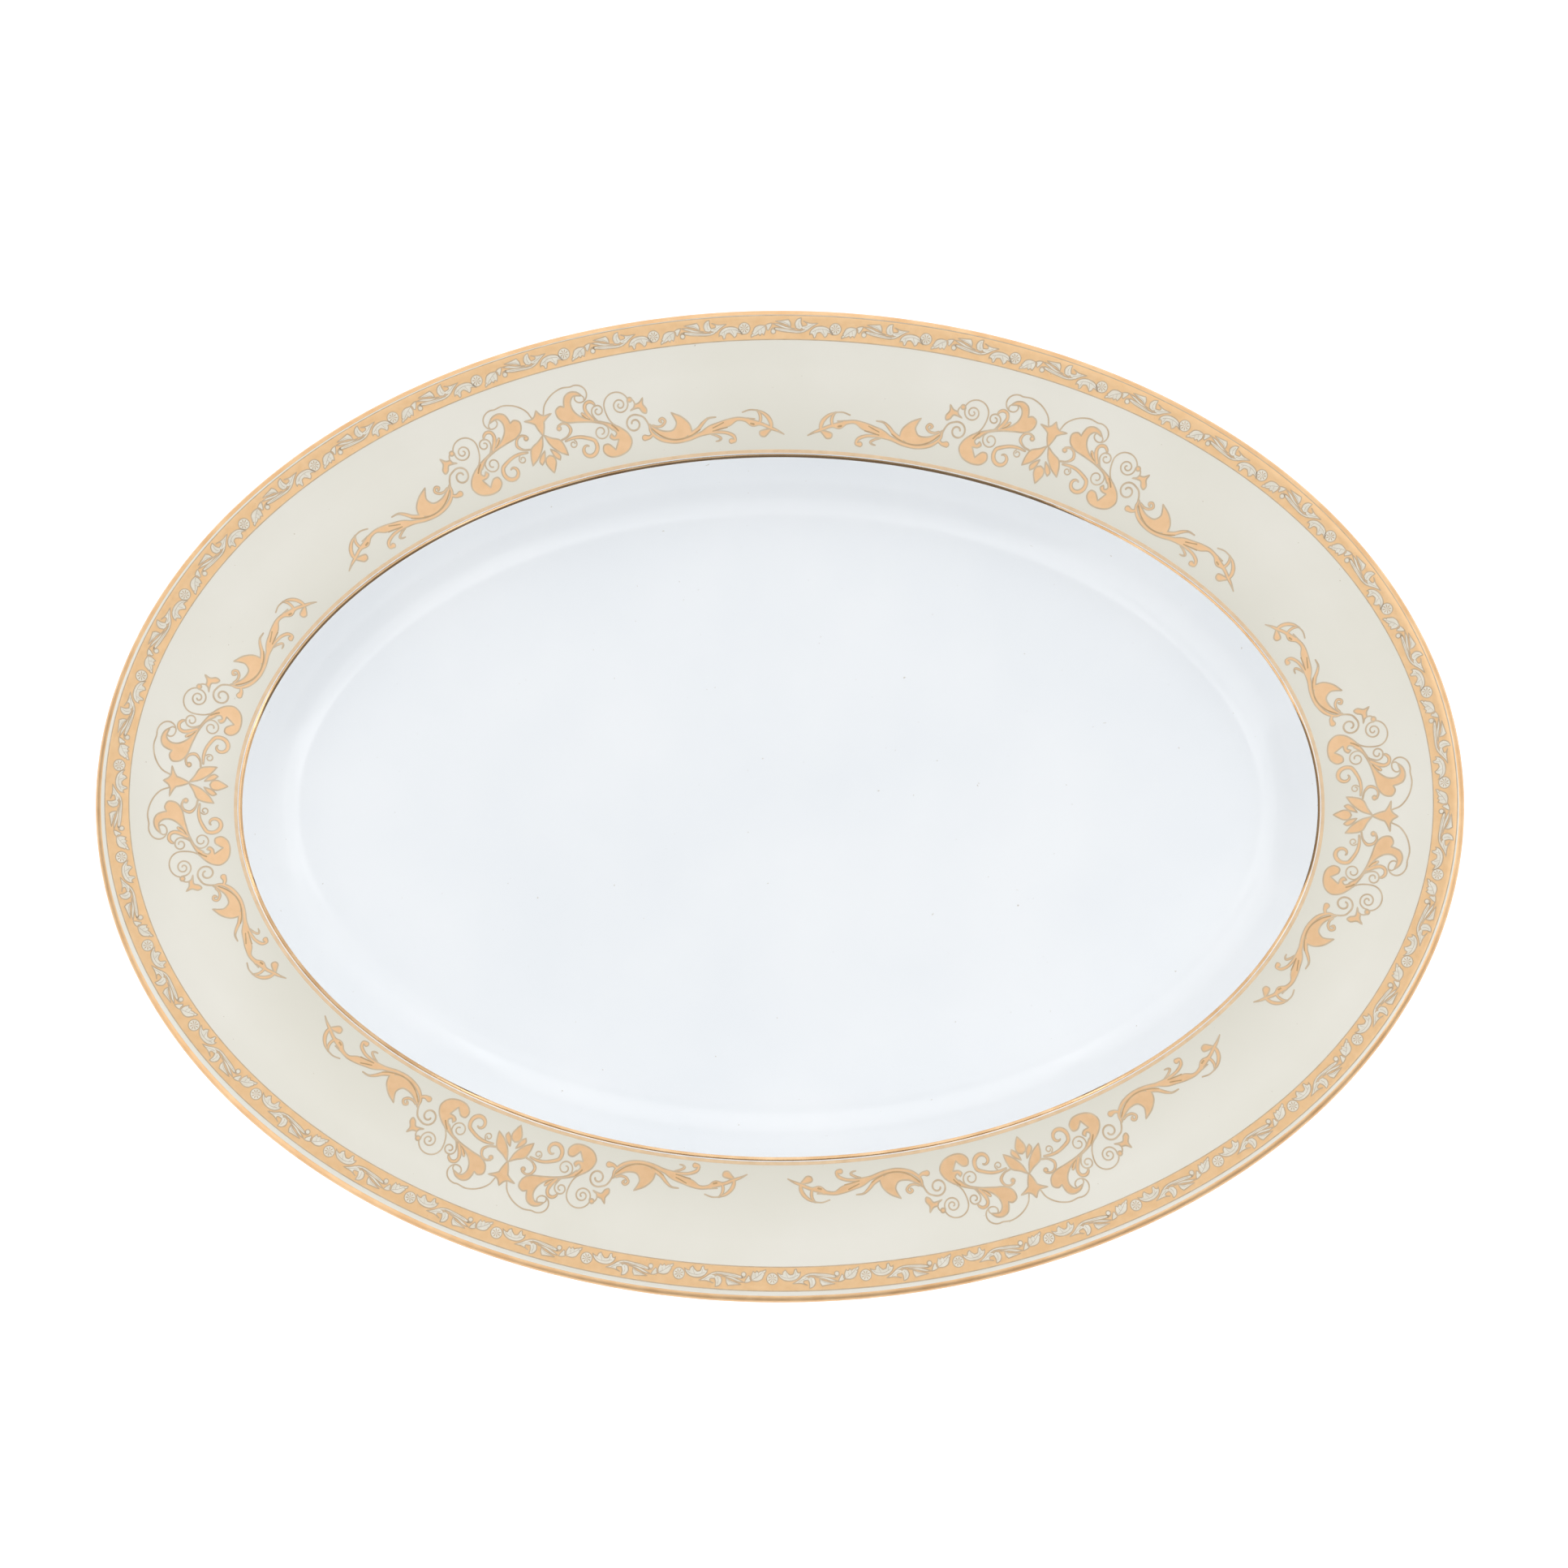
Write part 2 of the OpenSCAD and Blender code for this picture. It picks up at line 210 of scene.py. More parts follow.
def plan(t, v):
    """Plan position, where t is the lip ellipse's own angle."""
    n = np.hypot(HALF_W * np.cos(t), HALF_L * np.sin(t))
    return np.cos(t) * (HALF_L - v * HALF_W / n), np.sin(t) * (HALF_W - v * HALF_L / n)


def arc_table(v):
    """[distance clockwise, t] along the curve at v, for one turn."""
    t = np.linspace(0, 2 * np.pi, 3601)
    x, y = plan(t, v)
    return np.concatenate([[0], np.cumsum(np.hypot(np.diff(x), np.diff(y)))]), t


# curves that the ornament is measured along
MOTIF_ARC = arc_table(MOTIF_V)
ROSETTE_V = 5.3
BORDER_ARC = arc_table(ROSETTE_V)

# how far the border lies off the lip's centre, to the right and to the back
BORDER_OFF_CENTRE = (0.3, 0.8)


def border_shift(t):
    """How far the border lies outwards of its true place at t."""
    right, back = BORDER_OFF_CENTRE
    n = np.hypot(HALF_W * np.cos(t), HALF_L * np.sin(t))
    return (right * HALF_W * np.cos(t) + back * HALF_L * np.sin(t)) / n


def on_rim(arc, s, v, lift):
    """Points on the rim as rows of x, y, z, in millimetres."""
    t = -np.interp(s % arc[0][-1], arc[0], arc[1])
    if arc is BORDER_ARC:
        v = v - border_shift(t)
    lifted_v, z = section_at(q_at(v), lift)
    x, y = plan(t, lifted_v)
    return np.stack([x, y, z], 1)


# ---------------------------------------------------------------------------
# Meshes
# ---------------------------------------------------------------------------

def make_object(name, points, faces, materials, face_material=None):
    """A smooth-shaded object from points in millimetres; faces may be a list of arrays."""
    mesh = bpy.data.meshes.new(name)
    mesh.from_pydata((np.asarray(points) * MM).tolist(), [], [list(map(int, f)) for f in faces])
    for material in materials:
        mesh.materials.append(material)
    if face_material is not None:
        mesh.polygons.foreach_set("material_index", np.asarray(face_material, np.int32))
    mesh.update()
    piece = bpy.data.objects.new(name, mesh)
    bpy.context.scene.collection.objects.link(piece)
    tidy = bmesh.new()
    tidy.from_mesh(mesh)
    bmesh.ops.recalc_face_normals(tidy, faces=tidy.faces)
    tidy.to_mesh(mesh)
    tidy.free()
    mesh.shade_smooth()
    mesh.set_sharp_from_angle(angle=np.radians(SHARP_DEG))
    return piece


RING_T = np.linspace(0, 2 * np.pi, SEGMENTS, endpoint=False)


def ring_points(section):
    """Points swept round the oval, as an array [segment, place on the section, xyz]."""
    x, y = plan(RING_T[:, None], section[None, :, 0])
    z = np.broadcast_to(section[None, :, 1], x.shape)
    return np.stack([x, y, z], 2)


def swept_faces(segments, count, closed):
    """Quads between neighbouring segments, each of which has count points."""
    first = np.arange(segments)[:, None] * count
    after = (np.arange(segments)[:, None] + 1) % segments * count
    place = np.arange(count if closed else count - 1)[None, :]
    following = (place + 1) % count
    quads = np.stack([first + place, first + following, after + following, after + place], 2)
    return quads.reshape(-1, 4)


def ring_piece(name, points, material):
    """A closed ring from points [segment, place on its closed section, xyz]."""
    faces = swept_faces(SEGMENTS, points.shape[1], True)
    return make_object(name, points.reshape(-1, 3), faces, [material])


def dish_piece(name, section, materials, shrink):
    """A closed dish: section runs from the upper floor to the lower one, and each floor is
    closed by smaller and smaller copies of its last curve."""
    rings = ring_points(section)
    upper_first = [rings[:, :1] * [k, k, 1] for k in shrink[::-1]]
    lower_last = [rings[:, -1:] * [k, k, 1] for k in shrink]
    rings = np.concatenate(upper_first + [rings] + lower_last, axis=1)
    count = rings.shape[1]
    points = rings.reshape(-1, 3)
    faces = list(swept_faces(SEGMENTS, count, False))
    centres = np.array([[0, 0, section[0, 1]], [0, 0, section[-1, 1]]])
    top, bottom = len(points), len(points) + 1
    for i in range(SEGMENTS):
        after = (i + 1) % SEGMENTS
        faces.append([top, i * count, after * count])
        faces.append([bottom, after * count + count - 1, i * count + count - 1])
    return make_object(name, np.concatenate([points, centres]), faces, materials)


def coat_piece(name, q_from, q_to, lift, thick, taper, material):
    """A closed ring of coat between two places on the section, thinned to its edges. Each place
    is one number, or one for every segment."""
    q_from = np.broadcast_to(q_from, SEGMENTS)[:, None]
    q_to = np.broadcast_to(q_to, SEGMENTS)[:, None]
    count = max(6, int(np.max(q_to - q_from) / 0.2))
    q = q_from + (q_to - q_from) * (0.5 - 0.5 * np.cos(np.linspace(0, np.pi, count)))
    from_edge = np.clip(np.minimum(q - q_from, q_to - q) / taper, 0, 1)
    height = thick * np.sqrt(from_edge * (2 - from_edge))
    top_v, top_z = section_at(q, lift + height)
    bottom_v, bottom_z = section_at(q[:, -2:0:-1], lift)
    v = np.concatenate([top_v, bottom_v], 1)
    z = np.concatenate([top_z, bottom_z], 1)
    return ring_piece(name, np.stack([*plan(RING_T[:, None], v), z], 2), material)


# ---------------------------------------------------------------------------
# Flat drawing, in millimetres, as u clockwise and v inwards
# ---------------------------------------------------------------------------

# levels of a drawing, from the lowest to the highest: its drawn edges and thin strokes, the
# insides of its shapes, and the veins and folds over them
LINE, FILL, FOLD = 1, 2, 3

# a spread is greatest a quarter of this from the motif's middle, and gone at half of it
SPREAD_SPAN = 125


def smooth(points, closed=False, step=0.3):
    """A smooth curve through given points. A third column, such as a width, goes with it."""
    p = np.array(points, float)
    if closed:
        p = np.concatenate([p[-1:], p, p[:2]])
    else:
        p = np.concatenate([2 * p[:1] - p[1:2], p, 2 * p[-1:] - p[-2:-1]])
    pieces = []
    for a, b, c, d in zip(p[:-3], p[1:-2], p[2:-1], p[3:]):
        gaps = [max(np.hypot(*(y - x)[:2]), 1e-6) ** 0.5 for x, y in ((a, b), (b, c), (c, d))]
        t1, t2, t3 = np.cumsum(gaps)
        t = np.linspace(t1, t2, max(2, int(gaps[1] ** 2 / step) + 1), endpoint=False)[:, None]
        ab = a + (b - a) * t / t1
        bc = b + (c - b) * (t - t1) / (t2 - t1)
        cd = c + (d - c) * (t - t2) / (t3 - t2)
        abc = ab + (bc - ab) * t / t2
        bcd = bc + (cd - bc) * (t - t1) / (t3 - t1)
        pieces.append(abc + (bcd - abc) * (t - t1) / (t2 - t1))
    if not closed:
        pieces.append(p[-2:-1])
    return np.concatenate(pieces)


def curl(centre, from_r, to_r, from_deg, to_deg, lead=()):
    """A spiral about a centre, after an optional lead-in; angles run from +u towards +v."""
    count = max(5, int(abs(to_deg - from_deg) / 14))
    angle = np.radians(np.linspace(from_deg, to_deg, count))
    r = np.linspace(from_r, to_r, count)
    turn = np.stack([centre[0] + r * np.cos(angle), centre[1] + r * np.sin(angle)], 1)
    return smooth(np.concatenate([np.reshape(lead, (-1, 2)), turn]))


def outline(*runs):
    """A closed outline of smooth runs, which meet at corners."""
    return np.concatenate([smooth(r)[:-1] for r in runs])


def mirrored_outline(*runs):
    """A closed outline whose runs give the half from the top of the centre line to its foot."""
    half = np.concatenate([smooth(r)[:-1] for r in runs] + [np.array(runs[-1][-1:], float)])
    return np.concatenate([half, half[-2:0:-1] * [-1, 1]])


def disc(centre, r, count=20):
    """Points of a circle."""
    angle = np.linspace(0, 2 * np.pi, count, endpoint=False)
    return np.stack([centre[0] + r * np.cos(angle), centre[1] + r * np.sin(angle)], 1)


def sides(path, width, closed=False):
    """The two edges of a stroke along a path."""
    p = path[:, :2]
    if closed:
        run_on = np.roll(p, -1, 0) - np.roll(p, 1, 0)
    else:
        run_on = np.gradient(p, axis=0)
    across = np.stack([run_on[:, 1], -run_on[:, 0]], 1)
    across /= np.maximum(np.hypot(*across.T), 1e-9)[:, None]
    half = np.broadcast_to(np.asarray(width, float), len(p))[:, None] / 2
    return p + across * half, p - across * half


def signed_area(p):
    """Area of a polygon, which is negative where its points run the other way round."""
    x, y = p[:, 0], p[:, 1]
    return np.sum(x * np.roll(y, -1) - y * np.roll(x, -1)) / 2


class Drawing:
    """Overlapping flat shapes. The inside of a shape shows over every edge but its own."""

    def __init__(self):
        self.polygons = []
        self.shapes = 0

    def add(self, points, level, shape=None):
        """A simple polygon. An edge with a shape's number hides only that shape's inside."""
        points = np.asarray(points)[:, :2]
        if signed_area(points) < 0:
            points = points[::-1]
        self.polygons.append((points, level, shape))

    def line(self, path, width, level, shape=None, closed=False):
        """A stroke along a path, as a quad for each step and a round end."""
        left, right = sides(path, width, closed)
        count = len(path)
        for i in range(count if closed else count - 1):
            k = (i + 1) % count
            corners = np.array([left[i], left[k], right[k], right[i]])
            from_middle = corners - corners.mean(0)
            turn = np.argsort(np.arctan2(from_middle[:, 1], from_middle[:, 0]))
            self.add(corners[turn], level, shape)
        if not closed:
            widths = np.broadcast_to(np.asarray(width, float), count)
            for end in (0, -1):
                self.add(disc(path[end], widths[end] / 2, 10), level, shape)

    def filled(self, edge, line_w):
        """A filled shape with a drawn edge."""
        self.shapes += 1
        self.add(edge, FILL, self.shapes)
        self.line(edge, line_w, LINE, self.shapes, closed=True)

    def ribbon(self, points, line_w):
        """A stroke of changing width with a drawn edge; its points are [u, v, width]."""
        path = smooth(points)
        self.edged_line(path[:, :2], path[:, 2], line_w)

    def edged_line(self, path, width, line_w):
        """A stroke with a drawn edge, whose inside runs as far as there is room for it."""
        self.line(path, width + line_w * 0.6, LINE)
        inside = width - line_w * 0.9
        roomy = inside > 0.1
        self.line(path[roomy], inside[roomy], FILL)

    def mirror(self):
        """Adds the other half of everything drawn so far."""
        for points, level, shape in list(self.polygons):
            other = None if shape is None else -shape
            self.polygons.append((points[::-1] * [-1, 1], level, other))

    def shown_level(self, covering):
        """The level that shows where the polygons of those numbers overlap."""
        here = [self.polygons[i][1:] for i in covering]
        edged = {shape for level, shape in here if level == LINE}
        levels = [level for level, shape in here if level != FILL or shape is None or
                  shape not in edged]
        return max(levels + [LINE])

    def solve(self, spacing):
        """Points, triangles and levels of the drawing cut into one flat mesh."""
        points = np.concatenate([polygon for polygon, level, shape in self.polygons])
        starts = np.cumsum([0] + [len(polygon) for polygon, level, shape in self.polygons])
        loops = [list(range(a, b)) for a, b in zip(starts[:-1], starts[1:])]
        low, high = points.min(0), points.max(0)
        grid = np.stack(np.meshgrid(np.arange(low[0], high[0], spacing) + spacing / 3,
                                    np.arange(low[1], high[1], spacing) + spacing / 3), -1)
        every = np.concatenate([points, grid.reshape(-1, 2)])
        cut = delaunay_2d_cdt([Vector(p) for p in every.tolist()], [], loops, 1, 1e-4)
        flat = np.array([list(corner) for corner in cut[0]])
        kept = [(t, self.shown_level(covering)) for t, covering in zip(cut[2], cut[5]) if covering]
        tris = np.array([t for t, level in kept])
        shown = np.array([level for t, level in kept])
        a, b, c = flat[tris[:, 0]], flat[tris[:, 1]], flat[tris[:, 2]]
        ab, ac = b - a, c - a
        size = ab[:, 0] * ac[:, 1] - ab[:, 1] * ac[:, 0]
        tris[size < 0] = tris[size < 0][:, ::-1]
        return flat, tris, shown


def relief_piece(name, drawing, places, lift, thick, materials, spacing=1.5, spread=0.0):
    """A thin closed solid for a drawing at each place, which is (arc, s, v shift). Its halves can
    be spread apart by up to so many millimetres, with its middle and its ends kept in place."""
    flat, tris, shown = drawing.solve(spacing)
    used, packed = np.unique(tris, return_inverse=True)
    flat, tris = flat[used], packed.reshape(-1, 3)
    flat[:, 0] += spread * np.sin(2 * np.pi * flat[:, 0] / SPREAD_SPAN)
    edges = {}
    for a, b, c in tris:
        for i, j in ((a, b), (b, c), (c, a)):
            edges[(i, j)] = True
    rim_edges = np.array([e for e in edges if (e[1], e[0]) not in edges])
    count = len(flat)
    points, faces, slots = [], [], []
    for arc, s, v_shift in places:
        base = len(points) * count
        for height in (lift, lift + thick):
            points.append(on_rim(arc, flat[:, 0] + s, flat[:, 1] + v_shift, height))
        i, j = rim_edges[:, 0] + base, rim_edges[:, 1] + base
        faces += (tris + base).tolist()
        faces += (tris[:, ::-1] + base + count).tolist()
        faces += np.stack([i, i + count, j + count, j], 1).tolist()
        slots += (shown - 1).tolist() * 2 + [0] * len(rim_edges)
    return make_object(name, np.concatenate(points), faces, materials, slots)


# ---------------------------------------------------------------------------
# Materials
# ---------------------------------------------------------------------------

def srgb(r, g, b):
    """Linear colour from 0 to 255 display values."""
    c = np.array([r, g, b]) / 255
    return tuple(np.where(c <= 0.04045, c / 12.92, ((c + 0.055) / 1.055) ** 2.4)) + (1,)


class Finish:
    """A node material on one Principled shader, with helpers for the detail on it."""

    def __init__(self, name, **sockets):
        self.material = bpy.data.materials.new(name)
        self.material.use_nodes = True
        self.nodes = self.material.node_tree.nodes
        self.links = self.material.node_tree.links
        self.shader = self.nodes["Principled BSDF"]
        for socket, value in sockets.items():
            self.shader.inputs[socket.replace("_", " ")].default_value = value
        self.coords = self.nodes.new("ShaderNodeTexCoord").outputs["Object"]
        self.surface = None

    def noise(self, size_mm, detail, stretch=(1, 1, 1)):
        """Noise whose features are about size_mm across."""
        mapping = self.nodes.new("ShaderNodeMapping")
        mapping.inputs["Scale"].default_value = [1 / (size_mm * MM) * k for k in stretch]
        self.links.new(self.coords, mapping.inputs["Vector"])
        noise = self.nodes.new("ShaderNodeTexNoise")
        noise.inputs["Scale"].default_value = 1
        noise.inputs["Detail"].default_value = detail
        self.links.new(mapping.outputs["Vector"], noise.inputs["Vector"])
        return noise.outputs["Fac"]

    def ramp(self, value, *stops):
        """A colour ramp of (position, colour) stops over a value."""
        ramp = self.nodes.new("ShaderNodeValToRGB")
        elements = ramp.color_ramp.elements
        while len(elements) < len(stops):
            elements.new(0.5)
        for element, (position, colour) in zip(elements, stops):
            element.position = position
            element.color = colour
        self.links.new(value, ramp.inputs["Fac"])
        return ramp.outputs["Color"]

    def mix(self, factor, first, second):
        """A colour between two colours, which may be outputs or values."""
        mix = self.nodes.new("ShaderNodeMix")
        mix.data_type = "RGBA"
        factor_in, first_in, second_in = mix.inputs[0], mix.inputs[6], mix.inputs[7]
        for socket, value in ((factor_in, factor), (first_in, first), (second_in, second)):
            if hasattr(value, "is_linked"):
                self.links.new(value, socket)
            else:
                socket.default_value = value
        return mix.outputs[2]

    def between(self, value, low, high):
        """A number that goes from low to high as the value's middle range goes from 0 to 1."""
        span = self.nodes.new("ShaderNodeMapRange")
        span.inputs["From Min"].default_value = 0.3
        span.inputs["From Max"].default_value = 0.7
        span.inputs["To Min"].default_value = low
        span.inputs["To Max"].default_value = high
        self.links.new(value, span.inputs["Value"])
        return span.outputs["Result"]

    def height(self, low_mm, high_mm):
        """A number that goes from 0 to 1 between two heights."""
        parts = self.nodes.new("ShaderNodeSeparateXYZ")
        self.links.new(self.coords, parts.inputs["Vector"])
        span = self.nodes.new("ShaderNodeMapRange")
        span.inputs["From Min"].default_value = low_mm * MM
        span.inputs["From Max"].default_value = high_mm * MM
        self.links.new(parts.outputs["Z"], span.inputs["Value"])
        return span.outputs["Result"]

    def set(self, socket, output):
        """Links an output to one of the shader's sockets."""
        self.links.new(output, self.shader.inputs[socket])

    def bump(self, height, depth_mm):
        """Adds a bump of that depth over the ones before it."""
        bump = self.nodes.new("ShaderNodeBump")
        bump.inputs["Distance"].default_value = depth_mm * MM
        self.links.new(height, bump.inputs["Height"])
        if self.surface is not None:
            self.links.new(self.surface, bump.inputs["Normal"])
        self.surface = bump.outputs["Normal"]
        self.set("Normal", self.surface)


def speckled(finish, base, speck, size_mm, amount):
    """Base colour with small sparse specks, such as those in a fired glaze."""
    specks = finish.ramp(finish.noise(size_mm, 2.0), (0.5 + amount, (0, 0, 0, 1)),
                         (0.5 + amount + 0.03, (1, 1, 1, 1)))
    return finish.mix(specks, base, speck)


def porcelain_finish():
    """White china under a clear glaze, with the faint waves of a glaze that has flowed."""
    f = Finish("glazed_porcelain", Roughness=0.22, IOR=1.5, Coat_Weight=0.3, Coat_Roughness=0.07)
    tone = f.ramp(f.noise(46, 3.0), (0.3, srgb(241, 245, 249)), (0.7, srgb(246, 249, 252)))
    f.set("Base Color", speckled(f, tone, srgb(214, 212, 206), 1.3, 0.27))
    f.set("Roughness", f.between(f.noise(22, 4.0), 0.18, 0.26))
    f.bump(f.noise(30, 1.0), 0.035)
    f.bump(f.noise(2.2, 2.0), 0.0012)
    return f.material


def bare_foot_finish():
    """Unglazed china, ground flat, with fine grain and the grey of use on its contact face."""
    f = Finish("bare_porcelain", Roughness=0.75, IOR=1.45)
    tone = f.ramp(f.noise(9, 4.0), (0.35, srgb(214, 207, 194)), (0.65, srgb(235, 231, 221)))
    f.set("Base Color", speckled(f, tone, srgb(150, 142, 130), 0.9, 0.17))
    f.set("Roughness", f.between(f.noise(3, 3.0), 0.6, 0.85))
    f.bump(f.noise(0.35, 4.0), 0.02)
    f.bump(f.noise(6, 2.0, stretch=(1, 1, 0.2)), 0.03)
    return f.material


# the cream is painted darker below this height over the verge, as painted shade
VERGE_SHADE_RISE = 7


def cream_enamel_finish():
    """Cream enamel, painted darker towards the verge as painted shade, with rare pin specks."""
    f = Finish("cream_enamel", Roughness=0.32, IOR=1.52, Coat_Weight=0.35, Coat_Roughness=0.08)
    thin = f.ramp(f.noise(38, 4.0), (0.3, srgb(231, 228, 216)), (0.7, srgb(236, 233, 223)))
    # painted shade: the cream's own tone is mixed towards a darker cream low over the verge
    tone = f.mix(f.height(VERGE_Z, VERGE_Z + VERGE_SHADE_RISE), srgb(221, 218, 205), thin)
    f.set("Base Color", speckled(f, tone, srgb(196, 186, 166), 1.0, 0.28))
    f.set("Roughness", f.between(f.noise(14, 4.0), 0.29, 0.36))
    f.bump(f.noise(24, 1.0), 0.02)
    f.bump(f.noise(1.6, 3.0), 0.0015)
    return f.material


def bright_gold_finish(name, metallic, dark, light, smoothest, roughest):
    """Burnished gold, with brush marks and thin places."""
    f = Finish(name, Metallic=metallic, Roughness=roughest)
    f.set("Base Color", f.ramp(f.noise(7, 4.0), (0.3, srgb(*dark)), (0.7, srgb(*light))))
    f.set("Roughness", f.between(f.noise(3, 4.0), smoothest, roughest))
    f.bump(f.noise(1.1, 3.0), 0.004)
    f.bump(f.noise(9, 2.0), 0.02)
    return f.material


def matt_gold_finish():
    """Matt gold of the border's ground, with a fine grain and patches."""
    f = Finish("matt_gold", Metallic=0.3, Roughness=0.42)
    tone = f.ramp(f.noise(2.4, 4.0), (0.3, srgb(243, 201, 150)), (0.7, srgb(247, 208, 160)))
    f.set("Base Color", speckled(f, tone, srgb(214, 162, 108), 0.4, 0.24))
    f.set("Roughness", f.between(f.noise(1.2, 3.0), 0.34, 0.5))
    f.bump(f.noise(0.35, 2.0), 0.006)
    return f.material


def scroll_gold_finish():
    """Satin gold of the scroll motifs."""
    f = Finish("scroll_gold", Metallic=0.22, Roughness=0.42)
    tone = f.ramp(f.noise(2.0, 4.0), (0.3, srgb(233, 192, 146)), (0.7, srgb(239, 199, 155)))
    f.set("Base Color", tone)
    f.set("Roughness", f.between(f.noise(1.0, 3.0), 0.3, 0.48))
    f.bump(f.noise(0.3, 2.0), 0.004)
    return f.material


def printed_finish(name, dark, light, size_mm):
    """A printed enamel colour that changes a little from place to place."""
    f = Finish(name, Roughness=0.32, IOR=1.5)
    f.set("Base Color", f.ramp(f.noise(size_mm, 4.0), (0.3, srgb(*dark)), (0.7, srgb(*light))))
    f.set("Roughness", f.between(f.noise(1.5, 3.0), 0.29, 0.42))
    f.bump(f.noise(0.4, 2.0), 0.004)
    return f.material


PORCELAIN = porcelain_finish()
BARE_PORCELAIN = bare_foot_finish()
CREAM = cream_enamel_finish()
VERGE_GOLD = bright_gold_finish("verge_gold", 1.0, (198, 160, 118), (220, 188, 150), 0.06, 0.15)
LIP_GOLD = bright_gold_finish("lip_gold", 0.65, (228, 182, 132), (242, 204, 158), 0.29, 0.4)
MATT_GOLD = matt_gold_finish()
SCROLL_GOLD = scroll_gold_finish()
SCROLL_LINE = printed_finish("scroll_line", (196, 172, 142), (212, 193, 166), 3)
SCROLL_FOLD = printed_finish("scroll_fold", (184, 148, 106), (202, 168, 124), 2)
BORDER_LINE = printed_finish("border_line", (191, 167, 137), (209, 187, 159), 2.5)
PALE_GOLD = printed_finish("pale_gold", (222, 191, 153), (234, 205, 169), 3)
PALE_PRINT = printed_finish("pale_print", (222, 215, 199), (234, 229, 216), 1.6)
PALE_VEIN = printed_finish("pale_vein", (186, 172, 154), (202, 190, 172), 1.6)


# ---------------------------------------------------------------------------
# Ornament
# ---------------------------------------------------------------------------

# widths of the motifs' drawn edges and of their thin tendrils
EDGE_W = 0.4
THIN_W = 0.38


def centre_of_motif(d):
    """Flower, side leaves and bud on the motif's centre line, as right halves or whole."""
    d.filled(mirrored_outline(
        [(0, 19.0), (0.9, 20.4), (1.8, 20.9)], [(1.8, 20.9), (3.7, 20.8)],
        [(3.7, 20.8), (2.0, 21.8), (1.25, 22.4)], [(1.25, 22.4), (0.8, 24.0), (0.05, 25.8)]),
        EDGE_W)
    d.filled(mirrored_outline(
        [(0, 31.1), (1.1, 31.7), (1.4, 33.0), (0.7, 34.7), (0, 35.8)]), EDGE_W)


